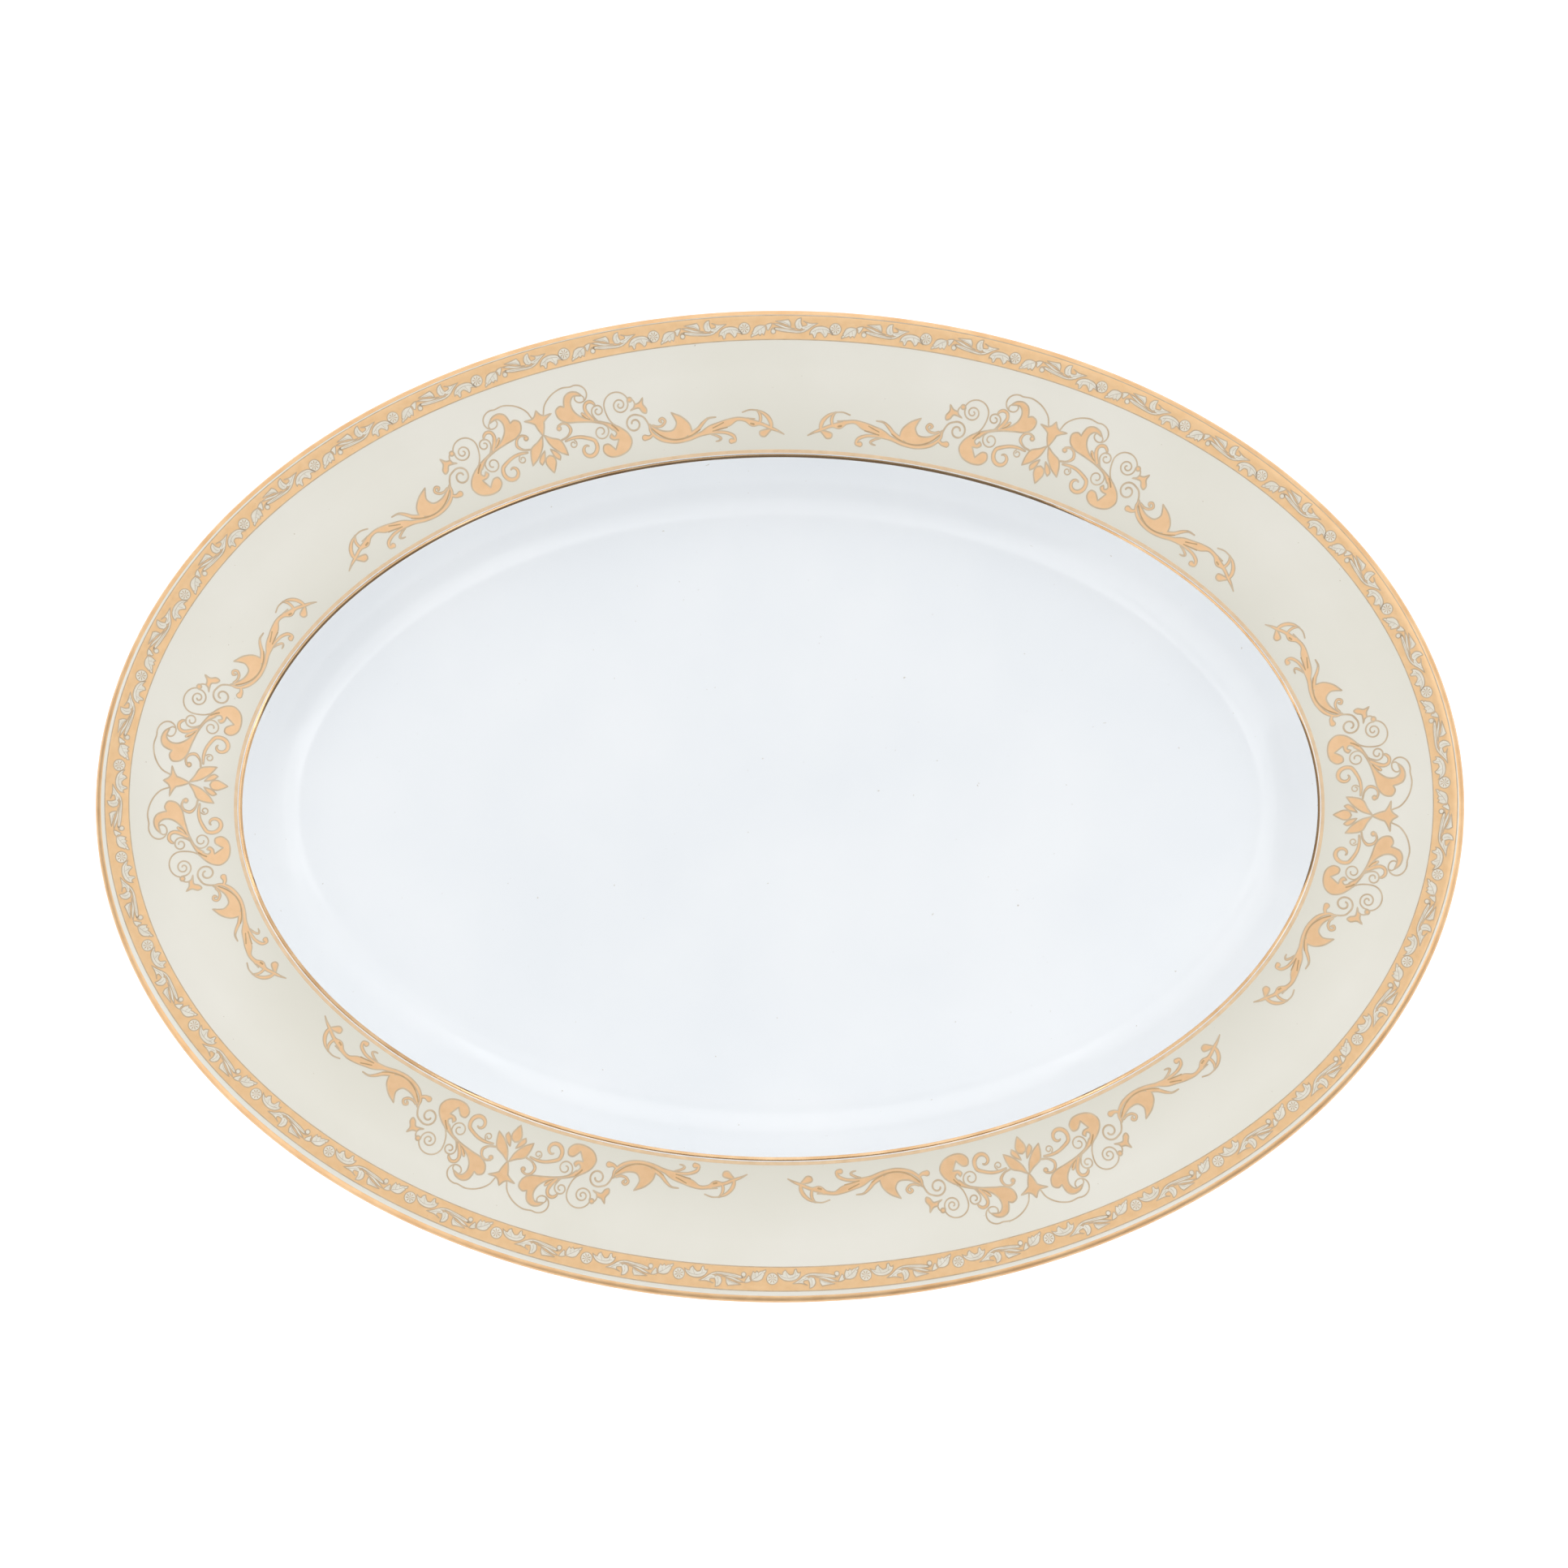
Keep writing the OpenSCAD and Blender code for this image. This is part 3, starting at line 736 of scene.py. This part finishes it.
def half_motif(d):
    """Everything of the motif on one side of its centre line."""
    # leaf beside the bud, and its seed
    d.filled(outline([(0.2, 25.7), (1.9, 26.9), (4.1, 28.1), (4.9, 30.1), (5.2, 32.4)],
                     [(5.2, 32.4), (3.1, 31.0), (1.1, 28.5), (0.2, 25.7)]), EDGE_W)
    d.filled(outline([(0.8, 29.6), (2.2, 30.7), (3.0, 32.0), (2.6, 33.0)],
                     [(2.6, 33.0), (1.5, 31.9), (0.8, 29.6)]), EDGE_W)
    # tendril over the top
    d.line(curl((11.6, 18.3), 3.2, 0.8, -115, 195,
                [(1.6, 20.6), (2.5, 18.4), (4.8, 16.3), (7.8, 15.2)]), THIN_W, LINE)
    # heart-shaped leaf with a hook, running down into the stem
    d.filled(outline(
        [(7.4, 20.1), (6.3, 19.65), (5.0, 20.5), (5.2, 22.5), (6.8, 24.0), (10.2, 24.8),
         (14.0, 25.7), (17.0, 27.0), (18.8, 28.8)],
        [(18.8, 28.8), (19.6, 27.5)],
        [(19.6, 27.5), (16.4, 26.1), (13.6, 25.0), (11.0, 23.5), (9.5, 21.5), (9.3, 19.4),
         (10.3, 18.0), (12.6, 18.3)],
        [(12.6, 18.3), (11.4, 17.1), (9.6, 16.75), (8.2, 17.5), (7.6, 18.9), (7.4, 20.1)]), EDGE_W)
    d.line(smooth([(12.4, 18.1), (13.0, 18.9), (12.9, 19.6)]), 0.34, LINE)
    # leaf that curls over, and a small leaf behind it
    d.ribbon([(14.1, 25.1, 0.8), (13.0, 23.3, 0.95), (12.6, 21.7, 0.8), (13.1, 20.6, 0.8),
              (14.2, 20.3, 0.8), (15.1, 20.9, 0.6), (15.4, 21.7, 0.3)], EDGE_W)
    d.ribbon([(11.6, 22.9, 0.6), (12.1, 23.6, 0.9), (13.3, 24.9, 0.5)], EDGE_W)
    d.line(smooth([(11.6, 23.3), (12.2, 24.1), (13.2, 24.8)]), 0.26, FOLD)
    # spirals above and below the stem
    d.line(curl((15.85, 23.1), 1.75, 0.5, 155, 620, [(15.6, 26.0), (14.8, 25.0)]), 0.4, LINE)
    d.line(curl((15.55, 28.6), 2.15, 0.6, -25, 440, [(16.4, 26.6), (17.0, 27.1)]), THIN_W, LINE)
    # loop with a bead at its end, and the spiral inside it
    d.line(curl((21.1, 22.6), 3.4, 3.3, 176, 340, [(19.4, 27.6), (18.4, 26.0), (17.9, 24.4)]),
           THIN_W, LINE)
    d.line(curl((21.9, 22.75), 2.25, 0.35, -18, 590), 0.4, LINE)
    d.filled(disc((24.7, 21.85), 0.6), EDGE_W)
    # trefoil beyond the bead
    d.line(smooth([(25.2, 21.7), (25.7, 22.4), (25.9, 23.2)]), 0.4, LINE)
    d.filled(outline([(25.8, 23.3), (27.0, 23.05), (28.2, 21.9)],
                     [(28.2, 21.9), (28.0, 23.5), (28.8, 25.0), (28.5, 26.0), (27.6, 25.6),
                      (26.8, 24.4), (25.8, 24.4), (24.4, 24.7)],
                     [(24.4, 24.7), (25.5, 24.0), (25.8, 23.3)]), EDGE_W)
    # scroll beside the centre
    d.ribbon([(4.5, 28.2, 0.3), (6.3, 27.7, 0.4), (7.6, 26.3, 0.7), (7.1, 24.7, 0.55),
              (5.8, 24.05, 0.45), (4.6, 24.5, 0.5)], EDGE_W)
    d.filled(disc((4.65, 25.1), 0.55), EDGE_W)
    # long scroll along the foot of the motif
    long_scroll = curl((11.1, 32.1), 2.75, 0.7, -40, 290,
                       [(5.5, 28.7), (7.4, 28.45), (9.4, 28.6), (11.4, 29.3)])
    along = np.linspace(0, 1, len(long_scroll))
    width = np.interp(along, [0, 0.1, 0.3, 0.55, 0.8, 1], [0.4, 0.7, 0.85, 1.1, 0.8, 0.25])
    d.edged_line(long_scroll, width, EDGE_W)
    d.line(curl((7.35, 30.0), 1.05, 0.45, -60, 350), 0.36, LINE)
    # comma leaf
    d.filled(outline(
        [(18.8, 27.2), (20.8, 28.4), (22.7, 30.3), (23.4, 32.4), (22.2, 34.5), (19.3, 35.6),
         (16.5, 35.3), (15.1, 33.8), (15.5, 32.2), (16.8, 32.1), (17.8, 33.0), (18.5, 33.9)],
        [(18.5, 33.9), (19.2, 32.7), (19.9, 31.4)],
        [(19.9, 31.4), (18.3, 31.2), (17.6, 30.4), (18.2, 29.6)],
        [(18.2, 29.6), (18.9, 30.5), (19.6, 29.8), (19.0, 28.7), (17.9, 27.7)],
        [(17.9, 27.7), (18.8, 27.2)]), EDGE_W)
    d.line(smooth([(18.8, 27.4), (19.6, 28.3), (20.2, 29.2)]), 0.42, FOLD)
    # spiral where the branch begins
    d.line(curl((24.9, 28.25), 2.45, 0.75, -62, -520, [(28.9, 29.8), (28.3, 28.0), (27.5, 26.8)]),
           0.5, LINE)
    # branch: bulb, upper leaf, hook and lower band
    d.ribbon([(29.6, 31.6, 0.7), (28.4, 32.3, 0.9), (27.1, 32.25, 1.5)], EDGE_W)
    d.ribbon([(28.9, 29.3, 0.5), (29.1, 31.0, 0.7), (31.2, 33.1, 0.95), (35.0, 34.35, 0.9),
              (39.0, 34.2, 0.9), (42.6, 33.2, 1.1), (45.5, 32.6, 1.6)], EDGE_W)
    d.filled(outline([(35.2, 26.8), (38.0, 28.3), (39.9, 30.4), (40.4, 32.5)],
                     [(40.4, 32.5), (38.2, 33.7), (35.2, 33.8), (32.0, 32.6), (29.5, 30.4),
                      (28.8, 28.8)],
                     [(28.8, 28.8), (30.3, 30.1), (32.6, 31.3), (35.2, 31.3), (36.3, 29.7),
                      (35.9, 28.2), (35.2, 26.8)]), EDGE_W)
    d.line(smooth([(29.5, 30.3), (31.4, 32.2), (34.0, 33.6), (37.0, 33.95), (40.5, 33.1),
                   (42.6, 32.0)]), 0.34, FOLD)
    d.ribbon([(29.8, 29.5, 0.5), (31.0, 29.95, 0.5), (32.4, 29.8, 0.6), (33.3, 28.8, 0.65),
              (32.6, 27.95, 0.6), (31.8, 28.4, 0.6), (32.2, 28.9, 0.5)], EDGE_W)
    # tail of the leaf, and the long stem that ends the half
    d.ribbon([(39.6, 33.2, 1.2), (42.1, 31.8, 0.95), (43.7, 30.3, 0.75), (45.2, 29.3, 0.4),
              (47.2, 29.15, 0.15)], EDGE_W)
    d.ribbon([(43.0, 33.0, 0.9), (45.4, 32.1, 1.7), (48.0, 31.4, 1.75), (50.6, 30.8, 1.9),
              (53.0, 30.0, 0.95), (55.4, 30.3, 1.0), (57.3, 31.2, 1.7), (59.4, 31.4, 0.9),
              (62.4, 32.6, 0.8), (64.2, 33.3, 0.5), (66.0, 34.2, 0.1)], EDGE_W)
    d.line(smooth([(46.2, 31.9), (47.8, 31.3), (49.2, 30.7)]), 0.32, FOLD)
    d.line(smooth([(46.1, 32.7), (48.2, 32.35), (50.2, 32.0)]), 0.3, FOLD)
    d.line(smooth([(56.8, 31.3), (57.6, 31.5)]), 0.5, FOLD)
    d.ribbon([(55.8, 30.1, 0.6), (57.0, 30.15, 0.35), (57.9, 30.1, 0.1)], EDGE_W)
    # curl and hook under the stem
    d.ribbon([(45.0, 33.0, 0.7), (47.6, 33.05, 0.7), (50.0, 33.4, 0.75), (51.9, 34.4, 0.85),
              (52.2, 35.5, 0.8), (51.1, 35.6, 1.3)], EDGE_W)
    d.ribbon([(45.6, 33.4, 0.4), (47.2, 34.0, 0.5), (48.3, 34.8, 0.5), (47.6, 35.3, 0.3),
              (46.8, 35.4, 0.1)], EDGE_W)
    # end sprig
    d.line(smooth([(54.6, 28.3), (56.6, 27.75), (58.6, 27.9)]), 0.4, LINE)
    d.ribbon([(58.4, 27.9, 0.3), (60.3, 28.7, 0.7), (61.8, 30.1, 1.0), (62.4, 31.5, 1.0),
              (62.4, 32.6, 0.8)], EDGE_W)
    d.ribbon([(58.6, 27.9, 0.3), (59.4, 29.1, 0.7), (59.5, 30.3, 0.75), (59.2, 31.3, 0.7)], EDGE_W)
    d.filled(outline([(62.7, 32.7), (60.9, 32.9), (59.2, 33.5), (59.4, 34.5), (60.6, 34.75),
                      (61.8, 33.7), (62.7, 32.7)]), EDGE_W)


def scroll_motif():
    """One whole motif."""
    d = Drawing()
    half_motif(d)
    d.mirror()
    centre_of_motif(d)
    return d


# width of the drawn edges in the border
PRINT_W = 0.28


def leaf_drawing():
    """Serrated leaf of the border."""
    d = Drawing()
    edge = outline([(2.2, 6.2), (2.8, 5.1), (3.9, 4.6), (5.4, 4.7)],
                   [(5.4, 4.7), (5.6, 5.8), (5.1, 7.2)], [(5.1, 7.2), (4.6, 6.8), (4.1, 7.3)],
                   [(4.1, 7.3), (3.7, 6.9), (3.1, 7.2)], [(3.1, 7.2), (2.6, 7.3), (1.7, 7.7)],
                   [(1.7, 7.7), (1.8, 7.0), (2.3, 6.7)], [(2.3, 6.7), (2.0, 6.5), (2.2, 6.2)])
    d.filled(edge, PRINT_W)
    d.line(smooth([(5.2, 5.0), (4.0, 5.7), (2.4, 7.1)]), 0.14, FOLD)
    d.line(smooth([(4.4, 5.6), (4.6, 6.4)]), 0.1, FOLD)
    d.line(smooth([(3.6, 6.1), (3.7, 6.7)]), 0.1, FOLD)
    return d


def curl_drawing():
    """Bud above the stem and the round curl below it."""
    d = Drawing()
    d.filled(outline([(5.6, 4.6), (6.3, 4.25), (7.3, 4.1)], [(7.3, 4.1), (7.0, 4.9), (6.3, 6.0)],
                     [(6.3, 6.0), (5.9, 5.7), (5.9, 5.2), (5.6, 4.6)]), PRINT_W)
    d.filled(disc((7.6, 6.25), 0.62), PRINT_W)
    d.line(smooth([(7.0, 5.8), (7.4, 5.4), (8.2, 5.4)]), 0.3, LINE)
    return d


def scroll_drawing():
    """Long scroll of the border with its flame leaves."""
    d = Drawing()
    d.filled(outline([(8.1, 5.2), (10.0, 5.4), (12.5, 5.8), (14.8, 6.0), (17.0, 5.2)],
                     [(17.0, 5.2), (16.2, 6.1), (14.6, 6.6), (12.0, 6.5), (9.6, 6.2), (8.1, 5.8)],
                     [(8.1, 5.8), (7.9, 5.5), (8.1, 5.2)]), PRINT_W)
    d.filled(outline([(7.4, 4.2), (9.0, 4.3), (11.0, 5.0), (13.4, 5.6)],
                     [(13.4, 5.6), (11.0, 5.6), (9.0, 4.9), (7.4, 4.2)]), PRINT_W)
    d.filled(outline([(8.2, 3.6), (9.8, 3.45), (11.6, 3.2)],
                     [(11.6, 3.2), (12.1, 4.0), (12.2, 5.2)],
                     [(12.2, 5.2), (11.0, 4.5), (9.6, 4.1), (8.2, 3.6)]), PRINT_W)
    d.filled(outline([(13.6, 5.4), (13.3, 4.2), (13.9, 3.1), (14.9, 2.7)],
                     [(14.9, 2.7), (14.9, 4.0), (15.4, 5.2)],
                     [(15.4, 5.2), (14.6, 5.7), (13.6, 5.4)]), PRINT_W)
    d.filled(outline([(15.4, 3.5), (17.0, 4.0), (19.3, 4.0)],
                     [(19.3, 4.0), (17.8, 4.9), (16.6, 5.9)],
                     [(16.6, 5.9), (15.2, 5.6), (14.9, 4.9)],
                     [(14.9, 4.9), (16.4, 4.6), (16.4, 4.1), (15.4, 3.5)]), PRINT_W)
    d.line(smooth([(9.2, 3.8), (10.8, 4.0), (11.9, 4.7)]), 0.12, FOLD)
    d.line(smooth([(9.0, 5.7), (12.0, 6.1), (15.0, 6.2)]), 0.12, FOLD)
    d.line(smooth([(14.4, 3.4), (14.2, 4.4), (14.5, 5.2)]), 0.12, FOLD)
    d.line(smooth([(17.9, 4.3), (16.9, 4.9), (15.8, 5.3)]), 0.12, FOLD)
    return d


def crescent_drawing():
    """Arched leaf with two lobes, before each rosette."""
    d = Drawing()
    d.filled(outline([(17.2, 7.1), (17.4, 6.1), (18.4, 5.1), (20.0, 4.7), (21.8, 5.0), (22.9, 5.9),
                      (23.4, 6.9)],
                     [(23.4, 6.9), (22.7, 6.5), (22.0, 6.4)],
                     [(22.0, 6.4), (21.8, 7.1), (21.2, 7.6)],
                     [(21.2, 7.6), (20.7, 6.9), (20.0, 6.3)],
                     [(20.0, 6.3), (19.2, 6.5), (18.9, 7.2)],
                     [(18.9, 7.2), (18.7, 7.7), (18.3, 7.8)],
                     [(18.3, 7.8), (18.1, 7.1), (17.8, 6.8)],
                     [(17.8, 6.8), (17.5, 6.8), (17.2, 7.1)]), PRINT_W)
    d.line(smooth([(18.0, 6.2), (19.6, 5.5), (21.6, 5.6), (22.6, 6.2)]), 0.13, FOLD)
    d.line(smooth([(18.7, 5.9), (18.5, 7.0)]), 0.1, FOLD)
    d.line(smooth([(20.6, 5.6), (21.1, 6.8)]), 0.1, FOLD)
    return d


def rosette_drawing():
    """Round flower of eight petals, parted by short strokes."""
    d = Drawing()
    petals = 8
    middle = np.array([0, ROSETTE_V])
    d.filled(disc(middle, 1.5, 40), 0.24)
    for k in range(petals):
        angle = 2 * np.pi * (k + 0.5) / petals
        out = np.array([np.cos(angle), np.sin(angle)])
        d.line(middle + np.outer([0.5, 0.8, 1.1], out), [0.18, 0.3, 0.2], LINE, d.shapes)
    d.line(disc(middle, 0.26, 14), 0.12, LINE, d.shapes, closed=True)
    return d


# ---------------------------------------------------------------------------
# Pieces
# ---------------------------------------------------------------------------

def place(piece, slot, *nodes):
    """Rides a piece on the platter and hides the CAD nodes that it stands for. The slot is not
    used.
    """
    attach(piece, ROOT)
    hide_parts(*nodes)


# the dish's floors are closed by copies of their last curve at these sizes
FLOOR_SIZES = [0.94, 0.82, 0.66, 0.46, 0.24, 0.08]


def build_porcelain():
    """The china dish, and the bare china the foot ring stands on."""
    section = np.concatenate([SECTION, foot_section()])
    body = dish_piece("porcelain_body", section, [PORCELAIN], FLOOR_SIZES)
    place(body, "porcelain", "platter_body", "well_glaze", "underside_glaze")
    outer, inner, top = FOOT_V + 0.2, FOOT_V + FOOT_W - 0.2, FOOT_H * 0.3
    loop = [[outer, top], [outer - 0.06, top * 0.6], [outer + 0.04, 0.22], [outer + 0.25, 0.06],
            [outer + 0.6, 0], [inner - 0.6, 0], [inner - 0.25, 0.06], [inner - 0.04, 0.22],
            [inner + 0.06, top * 0.6], [inner, top]]
    foot = ring_piece("foot_contact", ring_points(np.array(loop)), BARE_PORCELAIN)
    place(foot, "bare_porcelain", "foot_ring")


# lift of the gold and print coats, which stand on the enamel, and their thickness
ON_ENAMEL = ENAMEL_T - 0.01
GOLD_T = 0.06
PRINT_T = 0.09

# the enamel begins this far under the gilding, which ends at this place on the underside, and
# reaches this far in over the enamel, with this much more at the front and less at the back
ENAMEL_UNDER_GILT = 0.4
GILT_UNDER_Q = -2.2
GILT_OVER = 0.5
GILT_WANDER = 0.3

BORDER_LINE_W = 0.25
VERGE_LINE_W = 0.9
VERGE_GAP = 0.25

# the enamel reaches further in by this much at this angle, where the bright line is narrower
ENAMEL_RUN = 0.4
ENAMEL_RUN_T = 0.35


def build_bands():
    """The enamel, and the gold and printed bands that run all the way round."""
    enamel_end = ENAMEL_V + ENAMEL_RUN * np.clip(np.cos(RING_T - ENAMEL_RUN_T), 0, 1)
    enamel = coat_piece("rim_enamel_coat", q_at(GILT_V - ENAMEL_UNDER_GILT), q_at(enamel_end), 0,
                        ENAMEL_T, 0.5, CREAM)
    place(enamel, "cream_enamel", "rim_enamel")
    gilt_end = q_at(GILT_V + GILT_OVER - GILT_WANDER * np.sin(RING_T))
    gilt = coat_piece("gilt_lip", GILT_UNDER_Q, gilt_end, 0.02, ENAMEL_T, 0.3, LIP_GOLD)
    place(gilt, "bright_gold", "gilt_edge")
    outer_v = BORDER_V - border_shift(RING_T)
    inner_v = BORDER_END_V - border_shift(RING_T)
    ground = coat_piece("border_gold", q_at(outer_v), q_at(inner_v), ON_ENAMEL, GOLD_T, 0.1,
                        MATT_GOLD)
    place(ground, "matt_gold", "border_ground")
    outer = coat_piece("border_outer_line", q_at(outer_v - BORDER_LINE_W), q_at(outer_v + 0.06),
                       ON_ENAMEL, PRINT_T, 0.1, BORDER_LINE)
    place(outer, "grey_print", "border_line_outer")
    inner = coat_piece("border_inner_line", q_at(inner_v - BORDER_LINE_W - 0.06), q_at(inner_v),
                       ON_ENAMEL, PRINT_T, 0.1, BORDER_LINE)
    place(inner, "grey_print", "border_line_inner")
    matt = coat_piece("verge_matt_line", q_at(enamel_end - VERGE_LINE_W), q_at(enamel_end),
                      ON_ENAMEL, PRINT_T, 0.1, PALE_GOLD)
    place(matt, "matt_gold", "verge_line_matte")
    bright = coat_piece("verge_bright_line", q_at(enamel_end + VERGE_GAP), q_at(RIM_W + 0.1),
                        -0.01, PRINT_T, 0.12, VERGE_GOLD)
    place(bright, "bright_gold", "verge_line_bright")


REPEATS = 39
FIRST_REPEAT_S = 18.2
REPEAT_DRIFT = 2.35
ORNAMENT_LIFT = ENAMEL_T + 0.03
ORNAMENT_T = 0.07


def build_border():
    """The running ornament, laid by hand, so that its pattern closes with a slow drift."""
    turn = np.arange(REPEATS) / REPEATS
    drift = REPEAT_DRIFT * (1 - np.cos(2 * np.pi * turn))
    starts = FIRST_REPEAT_S + BORDER_ARC[0][-1] * turn + drift
    places = [(BORDER_ARC, s, 0.0) for s in starts]
    drawings = [("border_rosette_flowers", rosette_drawing(), "border_rosettes"),
                ("border_serrated_leaves", leaf_drawing(), "border_leaves"),
                ("border_buds_and_curls", curl_drawing(), "border_curls"),
                ("border_flame_scrolls", scroll_drawing(), "border_scrolls"),
                ("border_arched_leaves", crescent_drawing(), "border_crescents")]
    for name, drawing, node in drawings:
        piece = relief_piece(name, drawing, places, ORNAMENT_LIFT, ORNAMENT_T,
                             [BORDER_LINE, PALE_PRINT, PALE_VEIN], spacing=2.0)
        place(piece, "pale_print", node)


# for each motif clockwise from the right: how far it lies clockwise of its true place, how far
# inwards of it, and how far its halves are spread
MOTIF_PLACES = [(2.7, -1.8, 1.9), (4.0, -1.9, 0), (3.1, -0.9, 0),
                (6.7, -1.7, 1.9), (7.3, -2.1, 0), (1.6, -1.9, 0)]


def build_motifs():
    """Six transfers, each set down a little off its true place, and two of them stretched."""
    drawing = scroll_motif()
    for k, (shift, v_shift, spread) in enumerate(MOTIF_PLACES):
        s = MOTIF_ARC[0][-1] * k / len(MOTIF_PLACES) + shift
        piece = relief_piece(f"scrollwork_{k + 1}", drawing, [(MOTIF_ARC, s, v_shift)],
                             ON_ENAMEL, GOLD_T, [SCROLL_LINE, SCROLL_GOLD, SCROLL_FOLD],
                             spread=spread)
        place(piece, "scroll_gold", f"scroll_motif_{k + 1}")


# ---------------------------------------------------------------------------
# Stage, lights and camera
# ---------------------------------------------------------------------------

FLOOR_HALF = 3.0
FLOOR_GLOW = 0.3


def build_floor():
    """A pale floor that glows a little, so that it stays white round the platter."""
    mesh = bpy.data.meshes.new("floor")
    corners = [(x * FLOOR_HALF, y * FLOOR_HALF, 0) for x, y in ((-1, -1), (1, -1), (1, 1), (-1, 1))]
    mesh.from_pydata(corners, [], [(0, 1, 2, 3)])
    floor = bpy.data.objects.new("floor", mesh)
    bpy.context.scene.collection.objects.link(floor)
    f = Finish("pale_floor", Roughness=0.9)
    f.set("Base Color", f.ramp(f.noise(300, 2.0), (0.3, srgb(246, 246, 247)),
                               (0.7, srgb(250, 250, 250))))
    f.shader.inputs["Emission Color"].default_value = (1, 1, 1, 1)
    f.shader.inputs["Emission Strength"].default_value = FLOOR_GLOW
    mesh.materials.append(f.material)


# watts; each ring goes anticlockwise from the right every 45 degrees, and its front is k = 6
WORLD_STRENGTH = 0.15
OVERHEAD_POWER = 2.7
HIGH_POWERS = [7.2, 3.0, 0.6, 2.3, 4.7, 4.9, 4.0, 5.3]
LOW_POWERS = [5.5, 6, 8.5, 7, 1.5, 8, 0.6, 1.0]

# for each ring: its radius, its height, and the size of its soft boxes, in metres
HIGH_RING = 1.3, 1.7, (1.5, 1.2)
LOW_RING = 1.9, 0.78, (1.6, 1.3)


def area_light(name, position, size, power):
    """A soft box that faces the platter."""
    data = bpy.data.lights.new(name, "AREA")
    data.shape = "RECTANGLE"
    data.size, data.size_y = size
    data.energy = power
    light = bpy.data.objects.new(name, data)
    light.location = position
    light.rotation_euler = (-Vector(position)).to_track_quat("-Z", "Y").to_euler()
    bpy.context.scene.collection.objects.link(light)


def build_lights():
    """A pale studio: one soft box overhead, and two rings of them, at 53 and at 22 degrees."""
    world = bpy.data.worlds.new("studio")
    bpy.context.scene.world = world
    world.use_nodes = True
    background = world.node_tree.nodes["Background"]
    background.inputs["Color"].default_value = (0.97, 0.985, 1.0, 1)
    background.inputs["Strength"].default_value = WORLD_STRENGTH
    area_light("overhead", (0, 0, 2.2), (2.0, 2.0), OVERHEAD_POWER)
    rings = (("high", HIGH_RING, HIGH_POWERS), ("low", LOW_RING, LOW_POWERS))
    for k in range(8):
        angle = k * np.pi / 4
        for name, (radius, z, size), powers in rings:
            position = (radius * np.cos(angle), radius * np.sin(angle), z)
            area_light(f"{name}_{k}", position, size, powers[k])


CAMERA_DISTANCE = 3.0
CAMERA_TILT_DEG = 2.0
CAMERA_AIM = Vector((1.05, 5.7, CROWN_Z)) * MM
FRAME_MM = 412.5


def build_camera():
    """Straight down, drawn back a little towards the front, as the photo is taken."""
    data = bpy.data.cameras.new("camera")
    camera = bpy.data.objects.new("camera", data)
    tilt = np.radians(CAMERA_TILT_DEG)
    data.sensor_width = 36
    data.lens = data.sensor_width * CAMERA_DISTANCE / (FRAME_MM * MM)
    back = Vector((0, -np.sin(tilt), np.cos(tilt)))
    camera.location = CAMERA_AIM + back * CAMERA_DISTANCE
    camera.rotation_mode = "QUATERNION"
    camera.rotation_quaternion = (-back).to_track_quat("-Z", "Y")
    data.clip_start = 0.1
    data.clip_end = 10
    bpy.context.scene.collection.objects.link(camera)
    bpy.context.scene.camera = camera


build_porcelain()
build_bands()
build_border()
build_motifs()
build_floor()
build_lights()
build_camera()
bpy.context.scene.view_settings.view_transform = "Standard"
bpy.context.scene.view_settings.look = "None"
